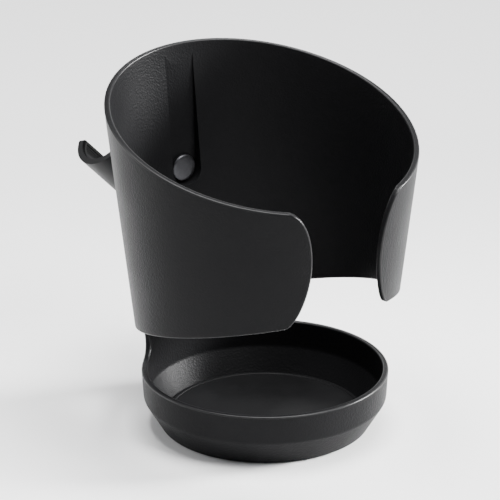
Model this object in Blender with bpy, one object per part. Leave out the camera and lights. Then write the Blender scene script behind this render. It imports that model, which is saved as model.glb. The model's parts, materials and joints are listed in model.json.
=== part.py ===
"""Cup holder with a swivelling clamp: a tapered open collar, a spine and a saucer tray in one moulding,
a through bolt, and a hooked clamp closed by a thumbscrew.  Sizes in millimetres, built in metres, +Z up.
Origin at the centre of the tray's underside; +Y points to the clamp, -Y to the open front of the collar."""
import math
import bpy
import bmesh
from mathutils import Matrix, Vector

for old in list(bpy.data.objects):
    bpy.data.objects.remove(old, do_unlink=True)

# ---------------------------------------------------------------- driving sizes (mm, degrees)
rim_radius = 43.1        # outside of the tray rim, where the collar's cone starts
wall = 2.1               # moulded wall
tray_height = 20.1
crease_height = 10.0     # where the tray's lower bevel ends
crease_radius = rim_radius - 0.65
under_radius = rim_radius - 6.7
rim_round = 0.55         # rounding of every moulded edge
cone_slope = 0.1178      # radius gained per mm of height
top_height = 109.25      # collar top on the axis
top_slope = 0.268        # the top is a plane that climbs towards the clamp
low_height = 42.7        # collar bottom on the axis
low_slope = -0.2577      # the bottom plane climbs towards the open front
gap_half = 16.7          # half of the front gap, degrees
spine_half = 39.8        # half of the spine, degrees
spine_fillet = 5.8
corner_width = 10.4      # rounded lobe corners, degrees across
corner_top = 19.7
corner_low = 21.4
column_turn = 3.6        # degrees between two columns of points on the moulding
front_columns = 12
collar_rows = 10
spine_rows = 6
mat_thick = 0.8
mat_gap = 0.1
mat_margin = 0.8         # floor left bare round the mat

bolt_height = 78.9       # pivot bolt above the tray's underside
slot_clear = 0.95        # room beside the bolt head in its recess, inside the collar
slot_lean = 0.035        # how far the recess floor leans out per mm above the head
slot_out = 1.2           # recess floor outside the cone, at the bolt's height
boss_thick = 2.8         # wall between the recess floor and the outside boss
boss_radius = 13.0
bolt_diameter = 5.0
head_brim = 2.35         # how far the bolt's head stands out round its shank
head_thick = 1.8
run_clear = 0.3          # running clearance
bond = 0.06              # gap left between faces that are bonded or pressed together
disc_thick = 1.0
hub_inset = 0.5          # the clamp's hub is this much smaller than the boss
web_thick = 2.8
wave_thick = 0.5
washer_thick = 0.8
nut_thick = 4.2
socket_clear = 1.3       # room round the nut for a socket

jaw_tilt = 45.7          # how far the clamp is turned on its bolt, degrees
jaw_half = 18.8          # half length of the cradle
jaw_outer = 11.25        # outside radius of the cradle
jaw_wall = 2.15
jaw_drop = 7.4           # cradle centre below the bolt
jaw_lip = 24.0           # where the cradle's lip ends, degrees from straight out
arm_half = 9.5
arm_under = 14.0         # underside of the screw arm above the bolt
arm_thick = 3.0
arm_reach = 8.5
arm_boss = 6.0
liner_thick = 1.0
screw_diameter = 6.0
screw_pitch = 1.0
pad_radius = 6.5
pad_low = 4.6            # underside of the pad foot above the bolt
pad_face_thick = 1.5
knob_low = 29.0
knob_high = 39.5
knob_radius = 8.5
knob_lobes = 6

# ---------------------------------------------------------------- derived
slot_face = round(rim_radius + cone_slope * (bolt_height - tray_height) + slot_out, 1)    # y of the floor
boss_face = slot_face + boss_thick
head_diameter = bolt_diameter + 2 * head_brim
slot_width = head_diameter + 2 * slot_clear
neck_side = bolt_diameter + 0.4
nut_across = 1.6 * bolt_diameter
socket_radius = nut_across / 2 / math.cos(math.pi / 6) + socket_clear
hub_radius = boss_radius - hub_inset
hub_face = boss_face + disc_thick + 2 * 0.1
pocket_floor = hub_face + web_thick
wave_low = pocket_floor + 0.1
washer_low = wave_low + wave_thick + 0.1
nut_low = washer_low + washer_thick + 0.1
bolt_end = nut_low + nut_thick + 0.5
channel_y = bolt_end + 0.35 + (jaw_outer - jaw_wall)      # cradle centre behind the axis
jaw_inner = jaw_outer - jaw_wall
boss_top = arm_under + arm_boss
tray_lean = math.atan2(crease_radius - under_radius, crease_height)
floor_radius = under_radius - wall * (1 - math.sin(tray_lean)) / math.cos(tray_lean)
cone_start = rim_radius - cone_slope * tray_height        # radius of the collar's cone at height 0
fillet_turn = math.degrees(spine_fillet / rim_radius)
flare = spine_half + fillet_turn                          # half of the spine where it meets tray and collar
flare_columns = math.ceil(flare / column_turn)
edge_turn = gap_half + corner_width                       # where a lobe's rounded corner starts
side_turn = edge_turn + 34.0                              # where the upright columns end
side_columns = math.ceil((180 - flare - side_turn) / column_turn)


def outer_radius(z):
    return rim_radius + cone_slope * (z - tray_height)


# ---------------------------------------------------------------- materials
def material(name, colour, rough, metal=0.0):
    mat = bpy.data.materials.new(name)
    mat.use_nodes = True
    shader = mat.node_tree.nodes["Principled BSDF"]
    shader.inputs["Base Color"].default_value = (colour[0], colour[1], colour[2], 1.0)
    shader.inputs["Roughness"].default_value = rough
    shader.inputs["Metallic"].default_value = metal
    mat.diffuse_color = (colour[0], colour[1], colour[2], 1.0)
    return mat


# ---------------------------------------------------------------- mesh helpers
def make(name, verts, faces):
    mesh = bpy.data.meshes.new(name)
    mesh.from_pydata([Vector(v) for v in verts], [], faces)
    bm = bmesh.new()
    bm.from_mesh(mesh)
    bmesh.ops.recalc_face_normals(bm, faces=bm.faces)
    bm.to_mesh(mesh)
    bm.free()
    obj = bpy.data.objects.new(name, mesh)
    bpy.context.scene.collection.objects.link(obj)
    return obj


def lathe(name, profile, count):
    """Turns a closed outline of (radius, height) pairs about Z.  A radius of 0 becomes a single point."""
    verts, rows = [], []
    for r, z in profile:
        if r < 1e-6:
            rows.append([len(verts)] * count)
            verts.append((0.0, 0.0, z))
        else:
            rows.append(list(range(len(verts), len(verts) + count)))
            for i in range(count):
                a = 2 * math.pi * i / count
                verts.append((r * math.cos(a), r * math.sin(a), z))
    faces = []
    for j in range(len(rows)):
        a, b = rows[j], rows[(j + 1) % len(rows)]
        if a[0] == a[1] and b[0] == b[1]:
            continue
        for i in range(count):
            k = (i + 1) % count
            quad = [a[i], a[k], b[k], b[i]]
            face = [v for n, v in enumerate(quad) if v not in quad[:n]]
            if len(face) > 2:
                faces.append(face)
    return make(name, verts, faces)


def prism(name, outline, low, high, place):
    """Extrudes a flat outline; place(u, v, w) puts a point in space."""
    n = len(outline)
    verts = [place(u, v, low) for u, v in outline] + [place(u, v, high) for u, v in outline]
    faces = [list(range(n))[::-1], list(range(n, 2 * n))]
    faces += [[i, (i + 1) % n, n + (i + 1) % n, n + i] for i in range(n)]
    return make(name, verts, faces)


def along_x(y, z, w):
    return (w, y, z)


def along_y(x, z, w):
    return (x, w, z)


def along_z(x, y, w):
    return (x, y, w)


def arc(cx, cy, r, start, end, steps):
    out = []
    for i in range(steps + 1):
        a = math.radians(start + (end - start) * i / steps)
        out.append((cx + r * math.cos(a), cy + r * math.sin(a)))
    return out


def circle(cx, cy, r, steps):
    return arc(cx, cy, r, 0, 360 * (steps - 1) / steps, steps - 1)


def join(target, tool, operation):
    mod = target.modifiers.new("cut", "BOOLEAN")
    mod.operation = operation
    mod.solver = "EXACT"
    mod.object = tool
    graph = bpy.context.evaluated_depsgraph_get()
    mesh = bpy.data.meshes.new_from_object(target.evaluated_get(graph))
    target.modifiers.clear()
    target.data = mesh
    bpy.data.objects.remove(tool, do_unlink=True)


def soften(target, width, degrees, segments):
    mod = target.modifiers.new("soft", "BEVEL")
    mod.width = width
    mod.segments = segments
    mod.limit_method = "ANGLE"
    mod.angle_limit = math.radians(degrees)
    mod.use_clamp_overlap = True
    graph = bpy.context.evaluated_depsgraph_get()
    mesh = bpy.data.meshes.new_from_object(target.evaluated_get(graph))
    target.modifiers.clear()
    target.data = mesh


def thicken(target, thickness):
    """Gives a sheet an even wall, inwards from its outside face."""
    mod = target.modifiers.new("wall", "SOLIDIFY")
    mod.thickness = thickness
    mod.offset = -1.0
    mod.use_even_offset = True
    graph = bpy.context.evaluated_depsgraph_get()
    mesh = bpy.data.meshes.new_from_object(target.evaluated_get(graph))
    target.modifiers.clear()
    target.data = mesh


def weld(target, distance):
    bm = bmesh.new()
    bm.from_mesh(target.data)
    bmesh.ops.remove_doubles(bm, verts=bm.verts, dist=distance)
    bmesh.ops.dissolve_degenerate(bm, edges=bm.edges, dist=distance)
    bmesh.ops.recalc_face_normals(bm, faces=bm.faces)
    bm.to_mesh(target.data)
    bm.free()


def finish(target, mat, parent=None):
    """Millimetres to metres, one material, and a parent empty that places the piece."""
    mesh = target.data
    mesh.transform(Matrix.Scale(0.001, 4))
    mesh.materials.clear()
    mesh.materials.append(mat)
    mesh.update()
    target.parent = parent


def empty(name, location, rotation, parent=None):
    """An axis that pieces hang from: the bolt, the clamp's pivot and the screw."""
    obj = bpy.data.objects.new(name, None)
    bpy.context.scene.collection.objects.link(obj)
    obj.location = Vector(location) * 0.001
    obj.rotation_euler = [math.radians(v) for v in rotation]
    obj.empty_display_size = 0.01
    obj.parent = parent
    return obj


BOLT = empty("bolt_axis", (0, 0, bolt_height), (-90, 0, 0))
CLAMP = empty("clamp_pivot", (0, 0, bolt_height), (0, jaw_tilt, 0))
SCREW = empty("screw_axis", (0, channel_y, 0), (0, 0, 0), CLAMP)

# ---------------------------------------------------------------- materials in use
moulded = material("black polypropylene", (0.022, 0.022, 0.024), 0.45)
matting = material("black rubber mat", (0.018, 0.018, 0.019), 0.7)
steel = material("zinc plated steel", (0.55, 0.56, 0.58), 0.3, 1.0)
black_steel = material("black oxide steel", (0.12, 0.12, 0.13), 0.38, 1.0)
acetal = material("natural acetal", (0.75, 0.74, 0.70), 0.45)
nylon = material("glass filled nylon", (0.03, 0.03, 0.032), 0.5)
rubber = material("grey rubber", (0.06, 0.06, 0.062), 0.8)
brass = material("brass", (0.75, 0.55, 0.25), 0.35, 1.0)
cap_grey = material("dark grey cap", (0.08, 0.08, 0.085), 0.4)


# ---------------------------------------------------------------- holder body
def plane_height(base, slope, angle):
    """Height where a tilted plane meets the outer cone, at this angle from the front."""
    c = math.cos(math.radians(angle))
    return (base - slope * cone_start * c) / (1 + slope * cone_slope * c)


def low_plane(angle):
    return plane_height(low_height, low_slope, angle)


def top_plane(angle):
    return plane_height(top_height, top_slope, angle)


def on_cone(angle, z):
    a, r = math.radians(angle), outer_radius(z)
    return (r * math.sin(a), -r * math.cos(a), z)


def spread(a, b, count):
    return [a + (b - a) * i / count for i in range(count + 1)]


def evenly(points, scale):
    """A function of 0..1 that runs along (angle, height) points at an even pace."""
    reach = [0.0]
    for (a, b), (c, d) in zip(points, points[1:]):
        reach.append(reach[-1] + math.hypot((c - a) * scale, d - b))

    def at(t):
        goal, i = t * reach[-1], 0
        while i < len(points) - 2 and goal > reach[i + 1]:
            i += 1
        k = min(max((goal - reach[i]) / max(reach[i + 1] - reach[i], 1e-9), 0.0), 1.0)
        return tuple(p + (q - p) * k for p, q in zip(points[i], points[i + 1]))
    return at


def stretched(u, v, side_a, side_b, end_a, end_b):
    """A point of the sheet that fills the space between two sides and two ends."""
    def mix(p, q, t):
        return tuple(x + (y - x) * t for x, y in zip(p, q))
    across, along = mix(side_a(v), side_b(v), u), mix(end_a(u), end_b(u), v)
    flat = mix(mix(side_a(0), side_b(0), u), mix(side_a(1), side_b(1), u), v)
    return tuple(a + b - c for a, b, c in zip(across, along, flat))


def rounded(t, power):
    """The two legs, 0..1, of a rounded corner (a superellipse)."""
    return math.sin(t) ** (2 / power), math.cos(t) ** (2 / power)


def lobe_edge():
    """The collar's front edge as (angle, height), from the bottom plane round the tip to the top plane."""
    low, top = [], []
    for t in spread(0, math.pi / 2, 40):
        across, up = rounded(t, 1.72)
        angle = gap_half + corner_width * (1 - across)
        low.append((angle, low_plane(angle) + corner_low * (1 - up)))
        across, up = rounded(t, 2.1)
        angle = gap_half + corner_width * (1 - across)
        top.append((angle, top_plane(angle) - corner_top * (1 - up)))
    return low + top[::-1]


def spine_edge():
    """The spine's edge as (angle, height), from the tray to the collar, with a fillet at each end."""
    high = low_plane(180 - flare)
    drop = min(spine_fillet, 0.44 * (high - tray_height))
    legs = [(flare - fillet_turn * math.sin(t), drop * (1 - math.cos(t))) for t in spread(0, math.pi / 2, 12)]
    return [(a, tray_height + d) for a, d in legs] + [(a, high - d) for a, d in reversed(legs)]


front_edge = evenly(lobe_edge(), math.radians(outer_radius(top_height * 0.7)))
side_edge = evenly(spine_edge(), math.radians(rim_radius))
back_turns = spread(180, 180 - flare, flare_columns) + spread(180 - flare, side_turn, side_columns)[1:]


def collar_half(v):
    """One row of the collar, from the back to one front edge."""
    row = [(a, low_plane(a) + (top_plane(a) - low_plane(a)) * v) for a in back_turns]
    for u in spread(0, 1, front_columns)[1:]:
        row.append(stretched(u, v,
                             lambda t: (side_turn, low_plane(side_turn) * (1 - t) + top_plane(side_turn) * t),
                             front_edge,
                             lambda t: (side_turn + (edge_turn - side_turn) * t,
                                        low_plane(side_turn + (edge_turn - side_turn) * t)),
                             lambda t: (side_turn + (edge_turn - side_turn) * t,
                                        top_plane(side_turn + (edge_turn - side_turn) * t))))
    return row


def spine_half_row(v):
    """One row of the spine, from its middle to one edge; angles are measured from the back."""
    return [stretched(u, v, lambda t: (0, tray_height + (low_plane(180) - tray_height) * t), side_edge,
                      lambda t: (flare * t, tray_height), lambda t: (flare * t, low_plane(180 - flare * t)))
            for u in spread(0, 1, flare_columns)]


def skin(name):
    """The outer skin of the moulding: tray, spine and collar as one open sheet, faces outwards."""
    verts, faces = [], []

    def sheet(rows, closed):
        start, wide = len(verts), len(rows[0])
        verts.extend(p for row in rows for p in row)
        for i in range(len(rows) - 1):
            for j in range(wide if closed else wide - 1):
                k = (j + 1) % wide
                faces.append([start + i * wide + j, start + i * wide + k,
                              start + (i + 1) * wide + k, start + (i + 1) * wide + j])

    rest = math.ceil((360 - 2 * flare) / column_turn)
    turns = spread(180 - flare, 180 + flare, 2 * flare_columns) + spread(180 + flare, 540 - flare, rest)[1:-1]
    rings = [(under_radius * 0.5, 0.0), (under_radius, 0.0), (crease_radius, crease_height),
             (rim_radius, tray_height)]
    sheet([[(r * math.sin(math.radians(a)), -r * math.cos(math.radians(a)), z) for a in turns]
           for r, z in rings], True)
    centre = len(verts)
    verts.append((0.0, 0.0, 0.0))
    faces.extend([(j + 1) % len(turns), j, centre] for j in range(len(turns)))
    rows = []
    for v in spread(0, 1, spine_rows):
        half = spine_half_row(v)
        rows.append([on_cone(180 - a, z) for a, z in reversed(half)]
                    + [on_cone(180 + a, z) for a, z in half[1:]])
    sheet(rows, False)
    rows = []
    for v in spread(0, 1, collar_rows):
        half = collar_half(v)
        rows.append([on_cone(a, z) for a, z in reversed(half)]
                    + [on_cone(360 - a, z) for a, z in half[1:]])
    sheet(rows, False)
    mesh = bpy.data.meshes.new(name)
    mesh.from_pydata(verts, [], faces)
    bm = bmesh.new()
    bm.from_mesh(mesh)
    bmesh.ops.remove_doubles(bm, verts=bm.verts, dist=0.01)
    bm.to_mesh(mesh)
    bm.free()
    obj = bpy.data.objects.new(name, mesh)
    bpy.context.scene.collection.objects.link(obj)
    return obj


body = skin("holder_body")
thicken(body, wall)
soften(body, rim_round, 20, 2)

# outside boss that gives the recess its floor, blended into the cone above
tip = (boss_face - 0.05 - cone_start) / cone_slope
half = slot_width / 2 + 2.6
boss = prism("boss", [(-half, bolt_height), (half, bolt_height), (half, tip), (-half, tip)],
             slot_face - 4.2, boss_face - 0.05, along_y)
soften(boss, 0.5, 50, 2)
pad = prism("pad", circle(0, bolt_height, boss_radius, 48), slot_face - 4.2, boss_face, along_y)
soften(pad, 0.5, 50, 2)
join(boss, pad, "UNION")
sunk = outer_radius(0) - 0.5 * wall
low, high = 40.0, tip + 8
hollow = lathe("hollow", [(0.0, low), (sunk + cone_slope * low, low), (sunk + cone_slope * high, high),
                          (0.0, high)], 120)
join(boss, hollow, "DIFFERENCE")
join(body, boss, "UNION")

reach = slot_width / 2
seat = prism("seat", circle(0, bolt_height, reach, 48), rim_radius - 5.0, slot_face, along_y)
join(body, seat, "DIFFERENCE")
near, top = rim_radius - 5.0, tip + 20
ramp = prism("ramp", [(near, bolt_height), (slot_face, bolt_height), (slot_face, bolt_height + reach),
                      (slot_face + slot_lean * (top - bolt_height - reach), top), (near, top)],
             -reach, reach, along_x)
join(body, ramp, "DIFFERENCE")
side = neck_side / 2 + run_clear
hole = prism("hole", [(-side, bolt_height - side), (side, bolt_height - side), (side, bolt_height + side),
                      (-side, bolt_height + side)], slot_face - 3, boss_face + 3, along_y)
join(body, hole, "DIFFERENCE")
weld(body, 0.002)
finish(body, moulded)

# ---------------------------------------------------------------- tray mat
mat_radius = floor_radius - mat_margin
base = wall + mat_gap
mat_top = base + mat_thick
mat = lathe("tray_mat", [(0.0, base), (mat_radius - 0.2, base), (mat_radius, base + 0.2),
                         (mat_radius, mat_top - 0.25), (mat_radius - 0.25, mat_top), (0.0, mat_top)], 96)
finish(mat, matting)

# ---------------------------------------------------------------- pivot bolt and its stack
hr, hf = head_diameter / 2, slot_face - bond
bolt = lathe("pivot_bolt", [
    (0.0, hf - head_thick), (hr - 0.55, hf - head_thick), (hr - 0.15, hf - head_thick + 0.2),
    (hr, hf - head_thick + 0.6), (hr, hf), (bolt_diameter / 2, hf), (bolt_diameter / 2, bolt_end - 0.5),
    (bolt_diameter / 2 - 0.5, bolt_end), (0.0, bolt_end)], 40)
s = neck_side / 2
neck = prism("neck", [(-s, -s), (s, -s), (s, s), (-s, s)], hf - 0.4, boss_face - 0.5, along_z)
join(bolt, neck, "UNION")
finish(bolt, black_steel, BOLT)

low = boss_face + 0.1
way_r, disc_r, high = bolt_diameter / 2 + run_clear, hub_radius - 0.6, low + disc_thick
disc = lathe("index_disc", [(way_r, low), (disc_r - 0.3, low), (disc_r, low + 0.3), (disc_r, high - 0.3),
                            (disc_r - 0.3, high), (way_r, high)], 72)
finish(disc, acetal, BOLT)


def wavy(name, r0, r1, low, thick, swing, count):
    verts, faces = [], []
    for i in range(count):
        a = 2 * math.pi * i / count
        h = low + 0.5 * swing * (1 + math.cos(3 * a))
        for r, z in ((r0, h), (r1, h), (r1, h + thick), (r0, h + thick)):
            verts.append((r * math.cos(a), r * math.sin(a), z))
    for i in range(count):
        for j in range(4):
            faces.append([4 * i + j, 4 * i + (j + 1) % 4, 4 * ((i + 1) % count) + (j + 1) % 4,
                          4 * ((i + 1) % count) + j])
    return make(name, verts, faces)


ring_out = nut_across / 2 - 0.15
wave = wavy("wave_washer", bolt_diameter / 2 + run_clear, ring_out, wave_low, 0.3, wave_thick - 0.3, 48)
finish(wave, steel, BOLT)
flat = lathe("flat_washer", [(bolt_diameter / 2 + 0.25, washer_low), (ring_out, washer_low),
                             (ring_out, washer_low + washer_thick), (bolt_diameter / 2 + 0.25,
                             washer_low + washer_thick)], 48)
finish(flat, steel, BOLT)


def hexagon(across, turn):
    r = across / 2 / math.cos(math.pi / 6)
    turns = [math.radians(60 * i + turn) for i in range(6)]
    return [(r * math.cos(a), r * math.sin(a)) for a in turns]


collar_thick = 1.2
nut = prism("lock_nut", hexagon(nut_across, 0), nut_low, nut_low + nut_thick - collar_thick, along_z)
dome = lathe("dome", [(0.0, nut_low + 0.5), (nut_across / 2 - 0.25, nut_low + 0.5),
                      (nut_across / 2 - 0.25, nut_low + nut_thick - 0.3),
                      (nut_across / 2 - 0.6, nut_low + nut_thick), (0.0, nut_low + nut_thick)], 48)
join(nut, dome, "UNION")
bore = lathe("bore", [(0.0, nut_low - 3), (bolt_diameter / 2 + 0.12, nut_low - 3),
                      (bolt_diameter / 2 + 0.12, nut_low + nut_thick - 1.3), (bolt_diameter / 2 + 0.75,
                      nut_low + nut_thick - 1.3), (bolt_diameter / 2 + 0.75, nut_low + nut_thick + 3),
                      (0.0, nut_low + nut_thick + 3)], 48)
join(nut, bore, "DIFFERENCE")
finish(nut, steel, BOLT)
thread_r, ring_low = bolt_diameter / 2 + 0.12, nut_low + nut_thick - 1.2
locking = lathe("nut_locking_ring", [
    (thread_r, ring_low), (thread_r + 0.53, ring_low), (thread_r + 0.53, ring_low + 1.0),
    (thread_r, ring_low + 1.0)], 48)
finish(locking, acetal, BOLT)

# ---------------------------------------------------------------- clamp frame
cy, cz = channel_y, -jaw_drop
lip = jaw_lip
mid_r = 0.5 * (jaw_outer + jaw_inner)
lip_y, lip_z = cy + mid_r * math.cos(math.radians(lip)), cz - mid_r * math.sin(math.radians(lip))
outline = arc(cy, cz, jaw_outer, -lip, -180, 40)
outline += arc(cy - jaw_outer + 4.0, arm_under + arm_thick - 4.0, 4.0, 180, 90, 8)
outline += [(cy + arm_reach, arm_under + arm_thick), (cy + arm_reach, arm_under)]
outline += arc(cy - jaw_inner + 2.0, arm_under - 2.0, 2.0, 90, 180, 6)
outline += arc(cy, cz, jaw_inner, -180, -lip, 40)
outline += arc(lip_y, lip_z, (jaw_outer - jaw_inner) / 2, 180 - lip, -lip, 8)[1:-1]
frame = prism("clamp_frame", outline, -jaw_half, jaw_half, along_x)
wide, step = jaw_half + 1.0, cz + 2.0
shape = [(-wide, cz - 30), (wide, cz - 30), (wide, step), (jaw_half, step), (arm_half, arm_under - 3.0),
         (arm_half, 60), (-arm_half, 60), (-arm_half, arm_under - 3.0), (-jaw_half, step), (-wide, step)]
join(frame, prism("trim", shape, cy - 40, cy + 40, along_y), "INTERSECT")
soften(frame, 0.45, 50, 2)
hub = prism("hub", circle(0, 0, hub_radius, 64), hub_face, cy - mid_r, along_y)
join(frame, hub, "UNION")
# the boss round the insert stands a little outside the end of the arm
wide = screw_diameter / 2 + 4.5
sboss = lathe("sboss", [(0.0, arm_under), (wide, arm_under), (wide, boss_top - 0.5), (wide - 0.5, boss_top),
                        (0.0, boss_top)], 56)
sboss.data.transform(Matrix.Translation((0, cy, 0)))
join(frame, sboss, "UNION")
insert_r = screw_diameter / 2 + 1.0
drill = lathe("drill", [(0.0, arm_under - 4), (insert_r + 0.1, arm_under - 4), (insert_r + 0.1, boss_top + 4),
                        (0.0, boss_top + 4)], 48)
drill.data.transform(Matrix.Translation((0, cy, 0)))
join(frame, drill, "DIFFERENCE")
join(frame, prism("nut_pocket", circle(0, 0, socket_radius, 48), pocket_floor, cy, along_y), "DIFFERENCE")
join(frame, prism("bolt_way", circle(0, 0, bolt_diameter / 2 + run_clear, 40), hub_face - 3, pocket_floor + 2,
                  along_y), "DIFFERENCE")
weld(frame, 0.002)
finish(frame, nylon, CLAMP)

# ---------------------------------------------------------------- cradle liner
lr1 = jaw_inner - bond
lr0 = lr1 - liner_thick
outline = arc(cy, cz, lr1, -(lip + 5), -172, 40) + arc(cy, cz, lr0, -172, -(lip + 5), 40)
liner = prism("cradle_liner", outline, -(jaw_half - 1.2), jaw_half - 1.2, along_x)
finish(liner, rubber, CLAMP)

# ---------------------------------------------------------------- thumbscrew set
sr = screw_diameter / 2
insert = lathe("thread_insert", [
    (sr + 0.25, arm_under - 1.0), (insert_r + 1.2, arm_under - 1.0), (insert_r + 1.2, arm_under - 0.1),
    (insert_r, arm_under - 0.1), (insert_r, boss_top - 0.2), (sr + 0.25, boss_top - 0.2)], 48)
finish(insert, brass, SCREW)

neck_r, flange_r = sr - 1.1, sr
f0 = pad_low + 1.25
stud_r, shoulder = sr - 1.0, knob_high - 4.4
profile = [(0.0, f0), (flange_r - 0.3, f0), (flange_r, f0 + 0.3), (flange_r, f0 + 1.3), (neck_r, f0 + 1.3),
           (neck_r, f0 + 3.4), (sr - 0.05, f0 + 4.4)]
profile += [(sr - 0.05, shoulder), (stud_r, shoulder), (stud_r, knob_high - 1.7),
            (stud_r - 0.3, knob_high - 1.4), (0.0, knob_high - 1.4)]
screw = lathe("clamp_screw", profile, 40)
finish(screw, steel, SCREW)

foot_top, well_r = f0 + 2.7, flange_r + 1.6
foot = lathe("pad_foot", [
    (0.0, pad_low), (pad_radius - 0.3, pad_low), (pad_radius, pad_low + 0.3), (pad_radius, pad_low + 2.0),
    (pad_radius - 1.2, foot_top), (well_r, foot_top), (well_r, f0 + 1.6), (flange_r + 0.3, f0 + 1.6),
    (flange_r + 0.3, f0 - 0.25), (0.0, f0 - 0.25)], 56)
finish(foot, nylon, SCREW)
keeper = lathe("pad_keeper", [(neck_r + 0.3, f0 + 1.7), (well_r - 0.1, f0 + 1.7), (well_r - 0.1, f0 + 2.5),
                              (neck_r + 0.3, f0 + 2.5)], 48)
finish(keeper, steel, SCREW)
fr = pad_radius - 0.3
face = lathe("pad_face", [
    (0.0, pad_low - bond - pad_face_thick), (fr - 0.4, pad_low - bond - pad_face_thick),
    (fr, pad_low - bond - pad_face_thick + 0.4), (fr, pad_low - bond), (0.0, pad_low - bond)], 56)
finish(face, rubber, SCREW)

outline = []
for i in range(120):
    a = 2 * math.pi * i / 120
    rr = knob_radius - 0.75 * (1 - math.cos(knob_lobes * a))
    outline.append((rr * math.cos(a), rr * math.sin(a)))
knob = prism("screw_knob", outline, knob_low, knob_high, along_z)
soften(knob, 0.8, 50, 2)
cap_r = 4.9
way = lathe("way", [(0.0, knob_low - 2), (sr + 0.1, knob_low - 2), (sr + 0.1, shoulder + 0.15), (stud_r + 0.15,
                    shoulder + 0.15), (stud_r + 0.15, shoulder + 0.85), (cap_r - 0.5, shoulder + 0.85),
                    (cap_r - 0.5, knob_high - 1.1), (cap_r, knob_high - 1.1), (cap_r, knob_high + 2),
                    (0.0, knob_high + 2)], 48)
join(knob, way, "DIFFERENCE")
weld(knob, 0.002)
finish(knob, nylon, SCREW)
spindle_nut = prism("spindle_nut", hexagon(7.0, 0), shoulder + 0.95, knob_high - 1.7, along_z)
join(spindle_nut, lathe("thread_way", [(0.0, shoulder - 2), (stud_r + 0.12, shoulder - 2),
                                       (stud_r + 0.12, knob_high + 2), (0.0, knob_high + 2)], 40), "DIFFERENCE")
finish(spindle_nut, steel, SCREW)
cap = lathe("knob_cap", [(0.0, knob_high - 1.0), (cap_r - 0.1, knob_high - 1.0), (cap_r - 0.1, knob_high - 0.3),
                         (cap_r - 0.5, knob_high - 0.05), (0.0, knob_high + 0.1)], 48)
finish(cap, cap_grey, SCREW)
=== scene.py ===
# %% [markdown]
# # A clamp-on cup holder
# The holder is one black moulding: a saucer tray, a spine, and a tapered collar with an open front.
# A bolt through the collar carries a hooked clamp that swivels and closes with a thumbscrew.
# The mechanical frame is loaded first. The seven pieces that show most are then modelled again at the frame's sizes,
# and the small ones inside the clamp keep the frame's own meshes and get a finish.

# %% Load the frame
import json
import math
import bpy
from mathutils import Matrix, Vector

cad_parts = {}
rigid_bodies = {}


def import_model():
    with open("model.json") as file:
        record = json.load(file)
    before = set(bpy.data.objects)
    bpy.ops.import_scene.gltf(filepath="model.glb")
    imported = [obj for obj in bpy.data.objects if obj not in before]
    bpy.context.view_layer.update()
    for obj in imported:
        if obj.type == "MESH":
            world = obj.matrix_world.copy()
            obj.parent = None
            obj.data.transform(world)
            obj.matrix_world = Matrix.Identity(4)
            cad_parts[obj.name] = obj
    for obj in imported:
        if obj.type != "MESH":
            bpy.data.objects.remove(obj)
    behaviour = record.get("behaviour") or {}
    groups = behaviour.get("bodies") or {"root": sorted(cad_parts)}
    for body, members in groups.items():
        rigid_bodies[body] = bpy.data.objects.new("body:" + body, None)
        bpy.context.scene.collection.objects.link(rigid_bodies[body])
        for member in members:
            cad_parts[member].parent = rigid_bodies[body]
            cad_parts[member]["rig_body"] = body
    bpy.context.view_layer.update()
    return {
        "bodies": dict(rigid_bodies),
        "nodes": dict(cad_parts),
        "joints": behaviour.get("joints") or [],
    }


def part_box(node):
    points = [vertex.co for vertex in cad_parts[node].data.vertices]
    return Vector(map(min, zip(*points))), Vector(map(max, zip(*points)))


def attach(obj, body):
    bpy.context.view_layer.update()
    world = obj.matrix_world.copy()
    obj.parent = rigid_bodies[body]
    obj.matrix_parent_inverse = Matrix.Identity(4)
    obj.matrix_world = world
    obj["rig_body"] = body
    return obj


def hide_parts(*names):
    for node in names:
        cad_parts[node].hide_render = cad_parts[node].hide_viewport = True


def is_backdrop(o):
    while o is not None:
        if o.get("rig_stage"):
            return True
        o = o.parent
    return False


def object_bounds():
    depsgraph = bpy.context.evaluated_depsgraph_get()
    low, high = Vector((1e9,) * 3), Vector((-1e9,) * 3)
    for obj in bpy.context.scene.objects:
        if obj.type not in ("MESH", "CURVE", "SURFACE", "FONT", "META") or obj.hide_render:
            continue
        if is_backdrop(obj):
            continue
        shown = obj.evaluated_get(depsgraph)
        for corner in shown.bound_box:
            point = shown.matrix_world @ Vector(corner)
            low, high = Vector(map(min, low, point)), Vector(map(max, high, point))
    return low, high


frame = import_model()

count = {name: sum(n["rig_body"] == name for n in frame["nodes"].values()) for name in frame["bodies"]}
print("pieces on each body:", count)

# %% [markdown]
# ## Sizes
# The drawing is in millimetres and Blender works in metres, so every length is multiplied by MM once.
# The collar is part of a cone that starts at the tray's rim: its radius grows by 0.1178 mm for each mm of height.

# %% Sizes of the moulding
MM = 0.001
RIM_RADIUS, TRAY_HEIGHT, WALL, RIM_ROUND = 43.1, 20.1, 2.1, 0.55
UNDER_RADIUS, CREASE_RADIUS, CREASE_HEIGHT = 36.4, 42.45, 10.0
ROUND_SIDES = 160                              # sides of the tray, the mat and the cone
CONE = 0.1178
TOP_HEIGHT, TOP_SLOPE = 109.25, 0.268          # the plane that cuts the collar's top: its height and its slope
LOW_HEIGHT, LOW_SLOPE = 42.7, -0.2577          # and the plane that cuts its lower edge
GAP_HALF, CORNER_WIDTH = 16.7, 10.4            # degrees
CORNER_TOP, CORNER_LOW = 19.7, 21.4            # how far the lobe's two round corners reach down and up
SPINE_HALF, SPINE_FILLET = 39.8, 5.8           # degrees, and mm
BOLT_HEIGHT = frame["joints"][0]["pos_m"][2] / MM
STEP = 2.25                                    # degrees between two columns of the mesh


def cone_radius(z):
    return RIM_RADIUS + CONE * (z - TRAY_HEIGHT)


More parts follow.
